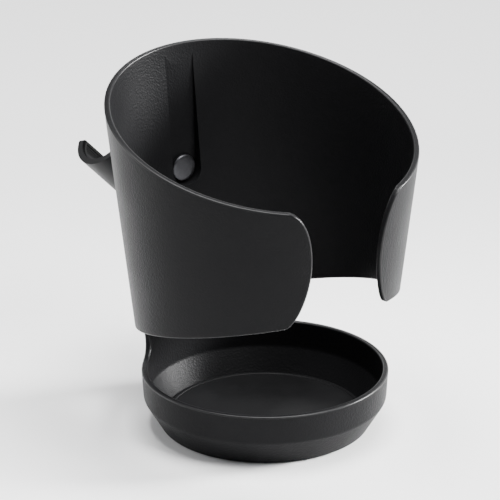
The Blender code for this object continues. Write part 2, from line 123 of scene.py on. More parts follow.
def plane_height(base, slope, angle):
    """Height in mm at which a tilted plane meets the cone, at an angle measured from the open front."""
    c = math.cos(math.radians(angle))
    return (base - slope * (RIM_RADIUS - CONE * TRAY_HEIGHT) * c) / (1 + slope * CONE * c)


# %% [markdown]
# ## Small helpers
# An operator works on everything that is selected, so each step begins by selecting nothing.
# Vertices are then chosen by a test on their place, as a box select would.

# %% Selecting
def select_none():
    for item in bpy.context.view_layer.objects:
        item.select_set(False)


def take(piece):
    select_none()
    piece.select_set(True)
    bpy.context.view_layer.objects.active = piece
    return piece


def new_piece(name):
    """Names the primitive that was just added."""
    piece = bpy.context.object
    piece.name = name
    piece.data.name = name
    return piece


def edit(piece, mode="VERT"):
    take(piece)
    bpy.ops.object.mode_set(mode="EDIT")
    bpy.ops.mesh.select_mode(type=mode)
    bpy.ops.mesh.select_all(action="DESELECT")
    bpy.ops.object.mode_set(mode="OBJECT")


def done():
    bpy.ops.object.mode_set(mode="OBJECT")


def pick(piece, mode, test):
    """Selects what passes the test on its middle point, and goes to edit mode."""
    edit(piece, mode)
    mesh = piece.data
    if mode == "VERT":
        for v in mesh.vertices:
            v.select = test(v.co / MM)
    elif mode == "EDGE":
        for e in mesh.edges:
            a, b = (mesh.vertices[i].co / MM for i in e.vertices)
            e.select = test((a + b) / 2, a, b)
    else:
        for f in mesh.polygons:
            f.select = test(f.center / MM, f.normal)
    bpy.ops.object.mode_set(mode="EDIT")


select_none()
print("nothing is selected:", not bpy.context.selected_objects)


# %% Modifiers and finishing
def apply_modifier(piece, kind, **settings):
    take(piece)
    mod = piece.modifiers.new(kind.lower(), kind)
    for key, value in settings.items():
        setattr(mod, key, value)
    bpy.ops.object.modifier_apply(modifier=mod.name)


def combine(piece, tool, operation):
    """Adds or cuts away a tool piece, which is then removed."""
    apply_modifier(piece, "BOOLEAN", object=tool, operation=operation, solver="EXACT")
    bpy.data.objects.remove(tool, do_unlink=True)


def tidy_normals(piece, distance=0.002):
    edit(piece)
    bpy.ops.object.mode_set(mode="EDIT")
    bpy.ops.mesh.select_all(action="SELECT")
    bpy.ops.mesh.remove_doubles(threshold=distance * MM)
    bpy.ops.mesh.normals_make_consistent(inside=False)
    done()


def smooth(piece, degrees=30):
    take(piece)
    bpy.ops.object.shade_smooth_by_angle(angle=math.radians(degrees))


def settle(piece, matrix=None):
    """Bakes the object's place into its mesh."""
    take(piece)
    if matrix is not None:
        piece.matrix_world = matrix @ piece.matrix_world
    bpy.ops.object.transform_apply(location=True, rotation=True, scale=True)


print("helpers ready")

# %% [markdown]
# ## The moulding, laid out as three sheets
# A moulder sees this body as one even wall. So the outer skin is laid out first, as a sheet without thickness:
# the tray is a ring that is extruded downwards, and the spine and the collar are flat grids whose points are moved
# onto the cone. The wall comes afterwards from Solidify, and the rounded rims from Bevel.

# %% The tray's skin
bpy.ops.mesh.primitive_circle_add(vertices=ROUND_SIDES, radius=RIM_RADIUS * MM,
                                  location=(0, 0, TRAY_HEIGHT * MM))
holder = new_piece("holder_moulding")
settle(holder)
for radius, height in ((CREASE_RADIUS, CREASE_HEIGHT), (UNDER_RADIUS, 0.0), (UNDER_RADIUS - 6, 0.0), (4.0, 0.0)):
    lowest = min(v.co.z for v in holder.data.vertices) / MM
    inner = min(math.hypot(v.co.x, v.co.y) for v in holder.data.vertices) / MM
    pick(holder, "VERT", lambda p: p.z < lowest + 0.01 and math.hypot(p.x, p.y) < inner + 0.01)
    bpy.ops.mesh.extrude_edges_move(TRANSFORM_OT_translate={"value": (0, 0, (height - lowest) * MM)})
    bpy.ops.transform.resize(value=(radius / inner, radius / inner, 1), center_override=(0, 0, height * MM))
    done()
pick(holder, "VERT", lambda p: math.hypot(p.x, p.y) < 4.1)
bpy.ops.mesh.edge_face_add()
bpy.ops.mesh.poke()
done()
print("tray skin:", len(holder.data.polygons), "faces")

# %% [markdown]
# The grids are stretched between four edges. For each point, the two side edges and the two end edges are mixed,
# so the columns stand upright at the back and lean into the rounded front edge of the collar.

# %% Stretching a grid between four edges
def stretched(u, v, side_a, side_b, end_a, end_b):
    """A point of the sheet that fills the space between two sides and two ends, each a function of 0..1."""
    def mix(p, q, t):
        return (p[0] * (1 - t) + q[0] * t, p[1] * (1 - t) + q[1] * t)
    across = mix(side_a(v), side_b(v), u)
    along = mix(end_a(u), end_b(u), v)
    flat = mix(mix(side_a(0), side_b(0), u), mix(side_a(1), side_b(1), u), v)
    return (across[0] + along[0] - flat[0], across[1] + along[1] - flat[1])


def evenly(points, scale):
    """A function of 0..1 that runs along a list of (angle, height) points at an even pace."""
    reach = [0.0]
    for (a, b), (c, d) in zip(points, points[1:]):
        reach.append(reach[-1] + math.hypot((c - a) * scale, d - b))
    def at(t):
        goal = t * reach[-1]
        for i in range(len(points) - 1):
            if goal <= reach[i + 1] or i == len(points) - 2:
                k = (goal - reach[i]) / max(reach[i + 1] - reach[i], 1e-9)
                k = min(max(k, 0.0), 1.0)
                return (points[i][0] + (points[i + 1][0] - points[i][0]) * k,
                        points[i][1] + (points[i + 1][1] - points[i][1]) * k)
    return at


def on_cone(angle, z):
    """A point in metres on the outer cone, at an angle from the open front."""
    a, r = math.radians(angle), cone_radius(z)
    return Vector((r * math.sin(a), -r * math.cos(a), z)) * MM


print("front of the rim, in mm:", [round(c / MM, 1) for c in on_cone(0, TRAY_HEIGHT)])


# %% The front edge of a collar lobe
LOW_FULLNESS, TOP_FULLNESS = 1.72, 2.1         # 2 is an ellipse, less is flatter and more is squarer
MM_PER_DEGREE = 0.84                           # round the collar, at the height of the lobe


def lobe_edge():
    """From the bottom plane round the tip to the top plane, as (angle, height). Both corners are superellipses."""
    def corner(power, base, slope, rise):
        points = []
        for i in range(41):
            t = math.pi / 2 * i / 40
            across, up = math.sin(t) ** (2 / power), math.cos(t) ** (2 / power)
            angle = GAP_HALF + CORNER_WIDTH * (1 - across)
            points.append((angle, plane_height(base, slope, angle) + rise * (1 - up)))
        return points
    low = corner(LOW_FULLNESS, LOW_HEIGHT, LOW_SLOPE, CORNER_LOW)
    top = corner(TOP_FULLNESS, TOP_HEIGHT, TOP_SLOPE, -CORNER_TOP)
    return low + top[::-1]


front_edge = evenly(lobe_edge(), MM_PER_DEGREE)
print("lobe tip at", [round(x, 1) for x in front_edge(0.5)], "(degrees, mm)")

# %% The collar's skin
ROWS, BACK, FRONT = 32, 54, 22
COLUMNS = 2 * (BACK + FRONT)
turn = 180 - BACK * STEP                       # angle where the upright columns end
edge_angle = GAP_HALF + CORNER_WIDTH


def collar_point(column, v):
    """Column 0 is one front edge and column COLUMNS the other; the clamp's side is in the middle."""
    away = abs(column - COLUMNS / 2)
    side = 1 if column > COLUMNS / 2 else -1
    if away <= BACK:
        angle = 180 - away * STEP
        low, top = plane_height(LOW_HEIGHT, LOW_SLOPE, angle), plane_height(TOP_HEIGHT, TOP_SLOPE, angle)
        return on_cone(side * angle, low + (top - low) * v)
    def straight(t):
        a, b = plane_height(LOW_HEIGHT, LOW_SLOPE, turn), plane_height(TOP_HEIGHT, TOP_SLOPE, turn)
        return (turn, a + (b - a) * t)
    def end(base, slope):
        return lambda t: (turn + (edge_angle - turn) * t, plane_height(base, slope, turn + (edge_angle - turn) * t))
    angle, z = stretched((away - BACK) / FRONT, v, straight, front_edge, end(LOW_HEIGHT, LOW_SLOPE),
                         end(TOP_HEIGHT, TOP_SLOPE))
    return on_cone(side * angle, z)


bpy.ops.mesh.primitive_grid_add(x_subdivisions=COLUMNS, y_subdivisions=ROWS, size=2)
collar = new_piece("collar_skin")
for v in collar.data.vertices:
    column, row = round((v.co.x + 1) / 2 * COLUMNS), (v.co.y + 1) / 2
    v.co = collar_point(column, row)
print("collar skin:", len(collar.data.polygons), "faces")

# %% The spine's skin
SPINE_COLUMNS, SPINE_ROWS = 42, 12
SPINE_MM_PER_DEGREE = 0.78
flare = STEP * SPINE_COLUMNS / 2               # half angle of the spine where it meets the tray and the collar


def spine_edge():
    """The spine's edge from the tray to the collar, with a fillet at each end."""
    width = flare - SPINE_HALF
    points = []
    for i in range(17):
        t = math.pi / 2 * i / 16
        points.append((flare - width * math.sin(t), TRAY_HEIGHT + SPINE_FILLET * (1 - math.cos(t))))
    for i in range(17):
        t = math.pi / 2 * (1 - i / 16)
        angle = flare - width * math.sin(t)
        points.append((angle, plane_height(LOW_HEIGHT, LOW_SLOPE, 180 - angle) - SPINE_FILLET * (1 - math.cos(t))))
    return points


edge_run = evenly(spine_edge(), SPINE_MM_PER_DEGREE)
bpy.ops.mesh.primitive_grid_add(x_subdivisions=SPINE_COLUMNS, y_subdivisions=SPINE_ROWS, size=2)
spine = new_piece("spine_skin")
for v in spine.data.vertices:
    side, u, t = (1 if v.co.x > 0 else -1), abs(v.co.x), (v.co.y + 1) / 2
    back = plane_height(LOW_HEIGHT, LOW_SLOPE, 180)
    angle, z = stretched(u, t, lambda q: (0, TRAY_HEIGHT + (back - TRAY_HEIGHT) * q), edge_run,
                         lambda q: (flare * q, TRAY_HEIGHT),
                         lambda q: (flare * q, plane_height(LOW_HEIGHT, LOW_SLOPE, 180 - flare * q)))
    v.co = on_cone(180 - side * angle, z)
print("spine skin:", len(spine.data.polygons), "faces")

# %% [markdown]
# The three skins share their points where they meet, so they are joined and their doubles merged.
# Solidify then gives the moulder's even wall, inwards, and Bevel rounds every rim and the tray's creases.
# Short edges would hold the whole bevel back, so its clamp is off. What stands up where a fillet runs out is pressed
# back onto the cone and merged.

# %% Joining the skins and giving them a wall
select_none()
for item in (holder, collar, spine):
    item.select_set(True)
bpy.context.view_layer.objects.active = holder
bpy.ops.object.join()
tidy_normals(holder, 0.02)
for _ in range(2):
    holder.data.materials.append(None)         # slot 0 is for the walls and slot 1 for the rounded rims
apply_modifier(holder, "SOLIDIFY", thickness=WALL * MM, offset=-1.0, use_even_offset=True)
apply_modifier(holder, "BEVEL", width=RIM_ROUND * MM, segments=3, limit_method="ANGLE",
               angle_limit=math.radians(20), material=1, use_clamp_overlap=False)
edit(holder)
for v in holder.data.vertices:
    pressed = cone_radius(v.co.z / MM) * MM / max(math.hypot(v.co.x, v.co.y), MM)
    if v.co.z > (TRAY_HEIGHT + 1) * MM and pressed < 0.999:
        v.co.x, v.co.y = v.co.x * pressed, v.co.y * pressed
        v.select = True
bpy.ops.object.mode_set(mode="EDIT")
bpy.ops.mesh.remove_doubles(threshold=0.05 * MM)
done()
print("moulding:", len(holder.data.polygons), "faces")

# %% [markdown]
# ## The bolt's recess
# Inside, a flat-floored slot runs down from the top and ends in a half circle round the bolt's head. Its floor
# leans outwards a little above the head, so it fades into the cone near the rim. Outside, a boss and a rib back it,
# so the clamp has a flat face to turn on. They are simple solids: the boss is added and the slot is cut away.

# %% The boss outside the collar
SLOT_HALF, SLOT_FACE, SLOT_LEAN, BOSS_FACE, BOSS_RADIUS = 5.8, 51.2, 0.035, 54.0, 13.0
BOSS_DEPTH, BOSS_ROUND, RIB_HALF = 5.5, 0.5, SLOT_HALF + 2.6
ALONG_Y = (math.pi / 2, 0, 0)                  # turns a cylinder's axis onto Y
rib_face = BOSS_FACE - 0.05                    # a hair back, so that two faces don't lie in one plane
rib_top = (rib_face - cone_radius(0)) / CONE   # where the cone reaches the rib's face
bpy.ops.mesh.primitive_cube_add(size=1, location=(0, 0, 0))
rib = new_piece("boss_rib")
rib.scale = (2 * RIB_HALF * MM, BOSS_DEPTH * MM, (rib_top - BOLT_HEIGHT) * MM)
rib.location = (0, (rib_face - BOSS_DEPTH / 2) * MM, (rib_top + BOLT_HEIGHT) / 2 * MM)
bpy.ops.mesh.primitive_cylinder_add(vertices=96, radius=BOSS_RADIUS * MM, depth=BOSS_DEPTH * MM, rotation=ALONG_Y,
                                    location=(0, (BOSS_FACE - BOSS_DEPTH / 2) * MM, BOLT_HEIGHT * MM))
pad = new_piece("boss_pad")
for solid in (rib, pad):
    settle(solid)
    apply_modifier(solid, "BEVEL", width=BOSS_ROUND * MM, segments=3, limit_method="ANGLE",
                   angle_limit=math.radians(50))
combine(rib, pad, "UNION")
print("boss:", len(rib.data.polygons), "faces, rib up to", round(rib_top, 1), "mm")

# %% Joining the boss to the wall
CORE_LOW, CORE_TOP, BITE = 40, 130, 1.0        # the core ends inside the wall, so the boss bites into it by this much
bpy.ops.mesh.primitive_cone_add(vertices=ROUND_SIDES, radius1=(cone_radius(CORE_LOW) - BITE) * MM,
                                radius2=(cone_radius(CORE_TOP) - BITE) * MM, depth=(CORE_TOP - CORE_LOW) * MM,
                                location=(0, 0, (CORE_LOW + CORE_TOP) / 2 * MM))
core = new_piece("core")
settle(core)
combine(rib, core, "DIFFERENCE")
combine(holder, rib, "UNION")
print("boss added:", len(holder.data.polygons), "faces")

# %% The slot inside it
CUT_DEPTH, RAMP_REACH = 14.0, 54.0
ramp_foot, ramp_top = BOLT_HEIGHT + SLOT_HALF, BOLT_HEIGHT + RAMP_REACH
cut_y = (SLOT_FACE - CUT_DEPTH / 2) * MM
bpy.ops.mesh.primitive_cylinder_add(vertices=64, radius=SLOT_HALF * MM, depth=CUT_DEPTH * MM, rotation=ALONG_Y,
                                    location=(0, cut_y, BOLT_HEIGHT * MM))
seat = new_piece("seat")
settle(seat)
combine(holder, seat, "DIFFERENCE")
bpy.ops.mesh.primitive_cube_add(size=1, location=(0, cut_y, (BOLT_HEIGHT + ramp_top) / 2 * MM))
ramp = new_piece("ramp")
ramp.scale = (2 * SLOT_HALF * MM, CUT_DEPTH * MM, (ramp_top - BOLT_HEIGHT) * MM)
settle(ramp)
pick(ramp, "FACE", lambda p, n: True)
bpy.ops.mesh.bisect(plane_co=(0, 0, ramp_foot * MM), plane_no=(0, 0, 1))
done()
pick(ramp, "VERT", lambda p: p.z > ramp_top - 0.01 and p.y > SLOT_FACE - 1)
bpy.ops.transform.translate(value=(0, SLOT_LEAN * (ramp_top - ramp_foot) * MM, 0))
done()
combine(holder, ramp, "DIFFERENCE")
print("slot from", round(BOLT_HEIGHT - SLOT_HALF, 1), "mm up, leaning", SLOT_LEAN, "mm for each mm")

# %% The square hole for the bolt's neck
NECK_HOLE, HOLE_MIDDLE, HOLE_DEPTH = 6.0, 52.5, 12.0
bpy.ops.mesh.primitive_cube_add(size=1, location=(0, HOLE_MIDDLE * MM, BOLT_HEIGHT * MM))
hole = new_piece("hole")
hole.scale = (NECK_HOLE * MM, HOLE_DEPTH * MM, NECK_HOLE * MM)
settle(hole)
combine(holder, hole, "DIFFERENCE")
tidy_normals(holder, 0.001)
smooth(holder, 32)
apply_modifier(holder, "WEIGHTED_NORMAL", keep_sharp=True)     # keeps the broad faces true beside the small rounds
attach(holder, "holder")
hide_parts("holder_body")
print("holder ready:", len(holder.data.polygons), "faces")

# %% [markdown]
# ## The clamp's own frame
# The clamp is drawn upright, with its bolt along Y through the origin and its screw along Z. When a piece is
# finished, one matrix turns it on the bolt to where the clamp stands at rest. The angle comes from the frame: the
# screw's hinge axis is the clamp's upright direction, turned.

# %% The clamp's matrix
joints = {j["name"]: j for j in frame["joints"]}
screw_down = Vector(joints["screw_turn"]["axis"])
CHANNEL_Y = joints["screw_turn"]["pos_m"][1] / MM                  # middle of the cradle behind the holder's axis
tilt = math.atan2(-screw_down.x, -screw_down.z)
CLAMP = Matrix.Translation((0, 0, BOLT_HEIGHT * MM)) @ Matrix.Rotation(tilt, 4, "Y")
print("clamp turned by", round(math.degrees(tilt), 1), "degrees; cradle at y =", round(CHANNEL_Y, 2), "mm")

# %% [markdown]
# ## The clamp's hook and arm
# It is a strip of glass filled nylon bent into a hook, so it is laid out as the holder was: a flat grid is moved
# onto the strip's path, the wall comes from Solidify and the rounding from Bevel. The strip narrows towards the arm
# that carries the screw. A round hub and a boss are added, and the bolt's and the screw's holes are cut.

# %% The strip's path and width
JAW_OUTER, JAW_WALL, JAW_HALF, JAW_DROP, JAW_LIP = 11.25, 2.15, 18.8, 7.4, 24.0
ARM_HALF, ARM_UNDER, ARM_THICK, ARM_REACH, ARM_BOSS = 9.5, 14.0, 3.0, 8.5, 6.0
BOSS_TOP = ARM_UNDER + ARM_BOSS


def strip_path():
    """Points (y, z) on the outside of the strip, from the lip round the cradle and up to the end of the arm."""
    points = []
    for i in range(41):
        t = math.radians(-JAW_LIP + (-180 + JAW_LIP) * i / 40)
        points.append((CHANNEL_Y + JAW_OUTER * math.cos(t), -JAW_DROP + JAW_OUTER * math.sin(t)))
    back, top = CHANNEL_Y - JAW_OUTER, ARM_UNDER + ARM_THICK
    for i in range(9):
        t = math.radians(180 - 90 * i / 8)
        points.append((back + 4 + 4 * math.cos(t), top - 4 + 4 * math.sin(t)))
    points.append((CHANNEL_Y + ARM_REACH, top))
    return points


def strip_half(z):
    low, high = -JAW_DROP + 2.0, ARM_UNDER - 3.0
    t = min(max((z - low) / (high - low), 0.0), 1.0)
    return JAW_HALF + (ARM_HALF - JAW_HALF) * t * t * (3 - 2 * t)


along_strip = evenly(strip_path(), 1.0)
print("the strip's ends at y, z:", [tuple(round(c, 1) for c in along_strip(t)) for t in (0, 1)])


# %% The strip
def turn_outwards(piece, centre):
    """Flips a sheet whose faces look towards a centre, in mm."""
    if sum(f.normal.dot(f.center / MM - centre) for f in piece.data.polygons) < 0:
        pick(piece, "FACE", lambda p, n: True)
        bpy.ops.mesh.flip_normals()
        done()


LIP_ROUND = 1.2
lip_y = CHANNEL_Y + JAW_OUTER * math.cos(math.radians(JAW_LIP))
lip_z = -JAW_DROP - JAW_OUTER * math.sin(math.radians(JAW_LIP))
bpy.ops.mesh.primitive_grid_add(x_subdivisions=24, y_subdivisions=72, size=2)
clamp = new_piece("clamp_moulding")
for v in clamp.data.vertices:
    s, t = v.co.x, (v.co.y + 1) / 2
    y, z = along_strip(t)
    v.co = Vector((strip_half(z) * s, y, z)) * MM
pick(clamp, "VERT", lambda p: abs(p.x) > JAW_HALF - 0.01 and p.y > lip_y - 0.01 and p.z > lip_z - 0.01)
bpy.ops.mesh.bevel(offset=LIP_ROUND * MM, segments=6, affect="VERTICES")
done()
turn_outwards(clamp, Vector((0, CHANNEL_Y, 0)))
apply_modifier(clamp, "SOLIDIFY", thickness=JAW_WALL * MM, offset=-1.0, use_even_offset=True)
apply_modifier(clamp, "BEVEL", width=0.5 * MM, segments=3, limit_method="ANGLE", angle_limit=math.radians(40))
print("clamp strip:", len(clamp.data.polygons), "faces")


# %% Round solids for hubs and holes
def drum(name, radius, low, high, axis="Y", y=0.0, soft=0.0, sides=96):
    """A cylinder of the clamp between two places on its own axis, with softened rims."""
    mid = (low + high) / 2
    place = (0, mid * MM, 0) if axis == "Y" else (0, y * MM, mid * MM)
    bpy.ops.mesh.primitive_cylinder_add(vertices=sides, radius=radius * MM, depth=(high - low) * MM, location=place,
                                        rotation=ALONG_Y if axis == "Y" else (0, 0, 0))
    solid = new_piece(name)
    settle(solid)
    if soft:
        apply_modifier(solid, "BEVEL", width=soft * MM, segments=3, limit_method="ANGLE",
                       angle_limit=math.radians(50))
    return solid


HUB_FACE, WEB, HUB_RADIUS = BOSS_FACE + 1.2, 2.8, 12.5
combine(clamp, drum("hub", HUB_RADIUS, HUB_FACE, CHANNEL_Y - JAW_OUTER + 1.0, soft=0.5), "UNION")
combine(clamp, drum("screw_boss", 7.5, ARM_UNDER, BOSS_TOP, "Z", CHANNEL_Y, soft=0.6), "UNION")
combine(clamp, drum("screw_way", 4.1, ARM_UNDER - 4, BOSS_TOP + 4, "Z", CHANNEL_Y), "DIFFERENCE")
combine(clamp, drum("nut_well", 5.9, HUB_FACE + WEB, CHANNEL_Y), "DIFFERENCE")
combine(clamp, drum("bolt_way", 2.8, HUB_FACE - 3, HUB_FACE + WEB + 2), "DIFFERENCE")
tidy_normals(clamp, 0.001)
settle(clamp, CLAMP)
smooth(clamp, 32)
apply_modifier(clamp, "WEIGHTED_NORMAL", keep_sharp=True)
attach(clamp, "clamp")
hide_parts("clamp_frame")
print("clamp ready:", len(clamp.data.polygons), "faces")

# %% [markdown]
# ## The cradle's rubber liner
# A strip of rubber lies in the hook so a round rail doesn't slip. Ribs run along it. The strip is a grid rolled
# into an arc, and every second row of faces is then extruded a little towards the rail.

# %% The liner
LINER_OUT, LINER_THICK, RIB = JAW_OUTER - JAW_WALL - 0.06, 0.7, 0.3
RIBS, from_angle, to_angle = 19, -(JAW_LIP + 5), -172.0
cradle = Vector((0, CHANNEL_Y, -JAW_DROP))     # the middle of the arc
bpy.ops.mesh.primitive_grid_add(x_subdivisions=2, y_subdivisions=(2 * RIBS + 1) * 2, size=2)
liner = new_piece("cradle_grip")
for v in liner.data.vertices:
    t = math.radians(from_angle + (to_angle - from_angle) * (v.co.y + 1) / 2)
    around = Vector((v.co.x * (JAW_HALF - 1.2), LINER_OUT * math.cos(t), LINER_OUT * math.sin(t)))
    v.co = (cradle + around) * MM
turn_outwards(liner, cradle)
apply_modifier(liner, "SOLIDIFY", thickness=LINER_THICK * MM, offset=-1.0, use_even_offset=True)


def on_rib(p, n):
    out = p - cradle
    turn_at = math.degrees(math.atan2(out.z, out.y))
    part = (turn_at - from_angle) / (to_angle - from_angle) * (2 * RIBS + 1)
    return math.hypot(out.y, out.z) < LINER_OUT - 0.5 * LINER_THICK and int(part) % 2 == 1 and abs(n.x) < 0.5


pick(liner, "FACE", on_rib)
bpy.ops.mesh.extrude_region_shrink_fatten(TRANSFORM_OT_shrink_fatten={"value": RIB * MM})
done()
apply_modifier(liner, "BEVEL", width=0.12 * MM, segments=2, limit_method="ANGLE", angle_limit=math.radians(30))
tidy_normals(liner, 0.001)
settle(liner, CLAMP)
smooth(liner, 40)
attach(liner, "clamp")
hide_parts("cradle_liner")
print("liner:", RIBS, "ribs,", len(liner.data.polygons), "faces")

# %% [markdown]
# ## The clamp's screw
# A real thread is a ridge that climbs by one pitch per turn. A grid is rolled into a tube whose rows climb with the
# angle, so each row stays on the crest, the flank or the root all the way round. Past the ends the rows are pressed
# flat. The plain neck, the flange that holds the pad and the stud for the knob are drums added to it.

# %% The threaded tube
PITCH, CREST, ROOT = 1.0, 2.95, 2.42
PAD_LOW, KNOB_LOW, KNOB_HIGH, KNOB_RADIUS = 4.6, 29.0, 39.5, 8.5
FLANGE_LOW = PAD_LOW + 1.25
SHOULDER = KNOB_HIGH - 4.4
thread_low, thread_high = FLANGE_LOW + 3.9, KNOB_LOW + 1.5
ROUND, PER_TURN = 40, 6
turns = math.ceil((thread_high - thread_low) / PITCH) + 1
bpy.ops.mesh.primitive_grid_add(x_subdivisions=ROUND, y_subdivisions=(turns + 1) * PER_TURN, size=2)
screw = new_piece("thumb_screw")
for v in screw.data.vertices:
    around = (v.co.x + 1) / 2
    row = round((v.co.y + 1) / 2 * (turns + 1) * PER_TURN)
    z = thread_low + (row / PER_TURN - 1 + around) * PITCH
    step = row % PER_TURN
    r = CREST if step in (0, 1) else ROOT if step in (3, 4) else (CREST + ROOT) / 2
    if z <= thread_low or z >= thread_high:
        z, r = min(max(z, thread_low), thread_high), ROOT
    v.co = Vector((r * math.cos(2 * math.pi * around), r * math.sin(2 * math.pi * around), z)) * MM
edit(screw)
bpy.ops.object.mode_set(mode="EDIT")
bpy.ops.mesh.select_all(action="SELECT")
bpy.ops.mesh.remove_doubles(threshold=0.0005 * MM)
bpy.ops.mesh.select_all(action="DESELECT")
bpy.ops.mesh.select_non_manifold()
bpy.ops.mesh.edge_face_add()
bpy.ops.mesh.select_all(action="SELECT")
bpy.ops.mesh.normals_make_consistent(inside=False)
done()
settle(screw, Matrix.Translation((0, CHANNEL_Y * MM, 0)))
for name, radius, low, high, soft in (("flange", 3.0, FLANGE_LOW, FLANGE_LOW + 1.3, 0.25),
                                      ("neck", 1.9, FLANGE_LOW + 1.0, thread_low + 0.6, 0.0),
                                      ("shank", 2.85, thread_high - 0.4, SHOULDER, 0.15),
                                      ("stud", 2.0, SHOULDER - 0.5, KNOB_HIGH - 1.4, 0.2)):
    part = drum(name, radius, low, high, "Z", CHANNEL_Y, soft, 48)
    select_none()
    screw.select_set(True)
    part.select_set(True)
    bpy.context.view_layer.objects.active = screw
    bpy.ops.object.join()
settle(screw, CLAMP)
smooth(screw, 35)
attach(screw, "thumbscrew")
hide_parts("clamp_screw")
print("screw:", turns, "turns,", len(screw.data.polygons), "faces")

# %% [markdown]
# ## The knob
# Six soft lobes round the rim, as a hand needs. A cylinder's sides are pulled in between the lobes by a cosine, its
# top is inset and sunk for the cap, and Bevel rounds what is left.

# %% The knob
LOBES, PULL = 6, 0.75
bpy.ops.mesh.primitive_cylinder_add(vertices=144, radius=KNOB_RADIUS * MM, depth=(KNOB_HIGH - KNOB_LOW) * MM,
                                    location=(0, 0, (KNOB_LOW + KNOB_HIGH) / 2 * MM))
knob = new_piece("knob_moulding")
settle(knob)
for v in knob.data.vertices:
    t = math.atan2(v.co.y, v.co.x)
    k = 1 - PULL * (1 - math.cos(LOBES * t)) / KNOB_RADIUS
    v.co.x, v.co.y = v.co.x * k, v.co.y * k
apply_modifier(knob, "BEVEL", width=1.1 * MM, segments=5, limit_method="ANGLE", angle_limit=math.radians(50))
combine(knob, drum("cap_well", 4.9, KNOB_HIGH - 1.1, KNOB_HIGH + 2, "Z"), "DIFFERENCE")
combine(knob, drum("nut_seat", 4.4, SHOULDER + 0.85, KNOB_HIGH, "Z"), "DIFFERENCE")
combine(knob, drum("stud_way", 2.15, SHOULDER - 1, KNOB_HIGH, "Z"), "DIFFERENCE")
combine(knob, drum("shank_way", 3.05, KNOB_LOW - 2, SHOULDER + 0.15, "Z"), "DIFFERENCE")
for i in range(LOBES):
    dip = drum("dip", 1.6, KNOB_LOW - 1.0, KNOB_LOW + 0.6, "Z", 5.4, 0.0, 32)
    settle(dip, Matrix.Rotation(math.radians(60 * i), 4, "Z"))
    combine(knob, dip, "DIFFERENCE")
tidy_normals(knob, 0.001)
settle(knob, CLAMP @ Matrix.Translation((0, CHANNEL_Y * MM, 0)))
smooth(knob, 35)
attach(knob, "thumbscrew")
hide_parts("screw_knob")
print("knob:", len(knob.data.polygons), "faces")

# %% [markdown]
# ## The pivot bolt
# A saddle bolt: a low round head, a square neck that keeps it from turning in the moulding, and a threaded shank.
# The head's face is slightly domed, so it is a cylinder whose top is inset twice and raised a little.

# %% The bolt
HEAD_R, HEAD_THICK, SHANK_R = 4.85, 1.8, 2.5
head_back = SLOT_FACE - 0.06
bolt_end = BOSS_FACE + 10.3
bolt = drum("saddle_bolt", HEAD_R, head_back - HEAD_THICK + 0.25, head_back, sides=64)
front = head_back - HEAD_THICK + 0.25
for inset, rise in ((0.45, 0.13), (1.2, 0.09), (1.6, 0.03)):
    pick(bolt, "FACE", lambda p, n: n.y < -0.9 and p.y < front + 0.01 and math.hypot(p.x, p.z) < 0.1)
    bpy.ops.mesh.inset(thickness=inset * MM)
    bpy.ops.transform.translate(value=(0, -rise * MM, 0))
    done()
    front -= rise
apply_modifier(bolt, "BEVEL", width=0.45 * MM, segments=4, limit_method="ANGLE", angle_limit=math.radians(50))
bpy.ops.mesh.primitive_cube_add(size=1, location=(0, (head_back + BOSS_FACE - 0.9) / 2 * MM, 0))
neck = new_piece("neck")
neck.scale = (5.4 * MM, (BOSS_FACE - 0.5 - head_back + 0.4) * MM, 5.4 * MM)
settle(neck)
combine(bolt, neck, "UNION")
combine(bolt, drum("shank", SHANK_R, head_back, bolt_end, soft=0.35, sides=48), "UNION")
tidy_normals(bolt, 0.001)
settle(bolt, Matrix.Translation((0, 0, BOLT_HEIGHT * MM)))
smooth(bolt, 35)
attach(bolt, "holder")
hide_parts("pivot_bolt")
print("bolt:", len(bolt.data.polygons), "faces")

# %% [markdown]
# ## The tray's mat
# A disc of thin rubber keeps a cup from sliding. A plain disc would look stamped, so its rim is rounded and a
# shallow ring is sunk near the edge, by insetting the top face twice and lowering the ring between.

# %% The mat
MAT_R, MAT_LOW, MAT_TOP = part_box("tray_mat")[1][0] / MM, WALL + 0.1, WALL + 0.9
bpy.ops.mesh.primitive_cylinder_add(vertices=ROUND_SIDES, radius=MAT_R * MM, depth=(MAT_TOP - MAT_LOW) * MM,
                                    location=(0, 0, (MAT_TOP + MAT_LOW) / 2 * MM))
mat = new_piece("floor_mat")
settle(mat)
pick(mat, "FACE", lambda p, n: n.z > 0.9)
bpy.ops.mesh.inset(thickness=1.1 * MM)
bpy.ops.mesh.inset(thickness=0.25 * MM)
bpy.ops.transform.translate(value=(0, 0, -0.22 * MM))
bpy.ops.mesh.inset(thickness=14.0 * MM)
bpy.ops.mesh.inset(thickness=12.0 * MM)
done()
apply_modifier(mat, "BEVEL", width=0.28 * MM, segments=3, limit_method="ANGLE", angle_limit=math.radians(60))
smooth(mat, 30)
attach(mat, "holder")
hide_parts("tray_mat")
print("mat radius:", round(MAT_R, 1), "mm,", len(mat.data.polygons), "faces")

# %% [markdown]
# ## Materials: two helpers
# Colours are written as a painter reads them, in sRGB hex, and one function makes them linear. The other function
# adds a node, with its settings and its links.

# %% Colour and node helpers
def linear(code):
    def channel(text):
        c = int(text, 16) / 255
        return c / 12.92 if c <= 0.04045 else ((c + 0.055) / 1.055) ** 2.4
    return tuple(channel(code[i:i + 2]) for i in (1, 3, 5)) + (1.0,)


def add_node(tree, kind, inputs=None, links=None, **settings):
    """A node with its settings, the values on its sockets, and what feeds its sockets: {socket: (node, output)}."""
    made = tree.nodes.new(kind)
    for key, value in settings.items():
        setattr(made, key, value)
    for key, value in (inputs or {}).items():
        made.inputs[key].default_value = value
    for key, (source, output) in (links or {}).items():
        tree.links.new(source.outputs[output], made.inputs[key])
    return made


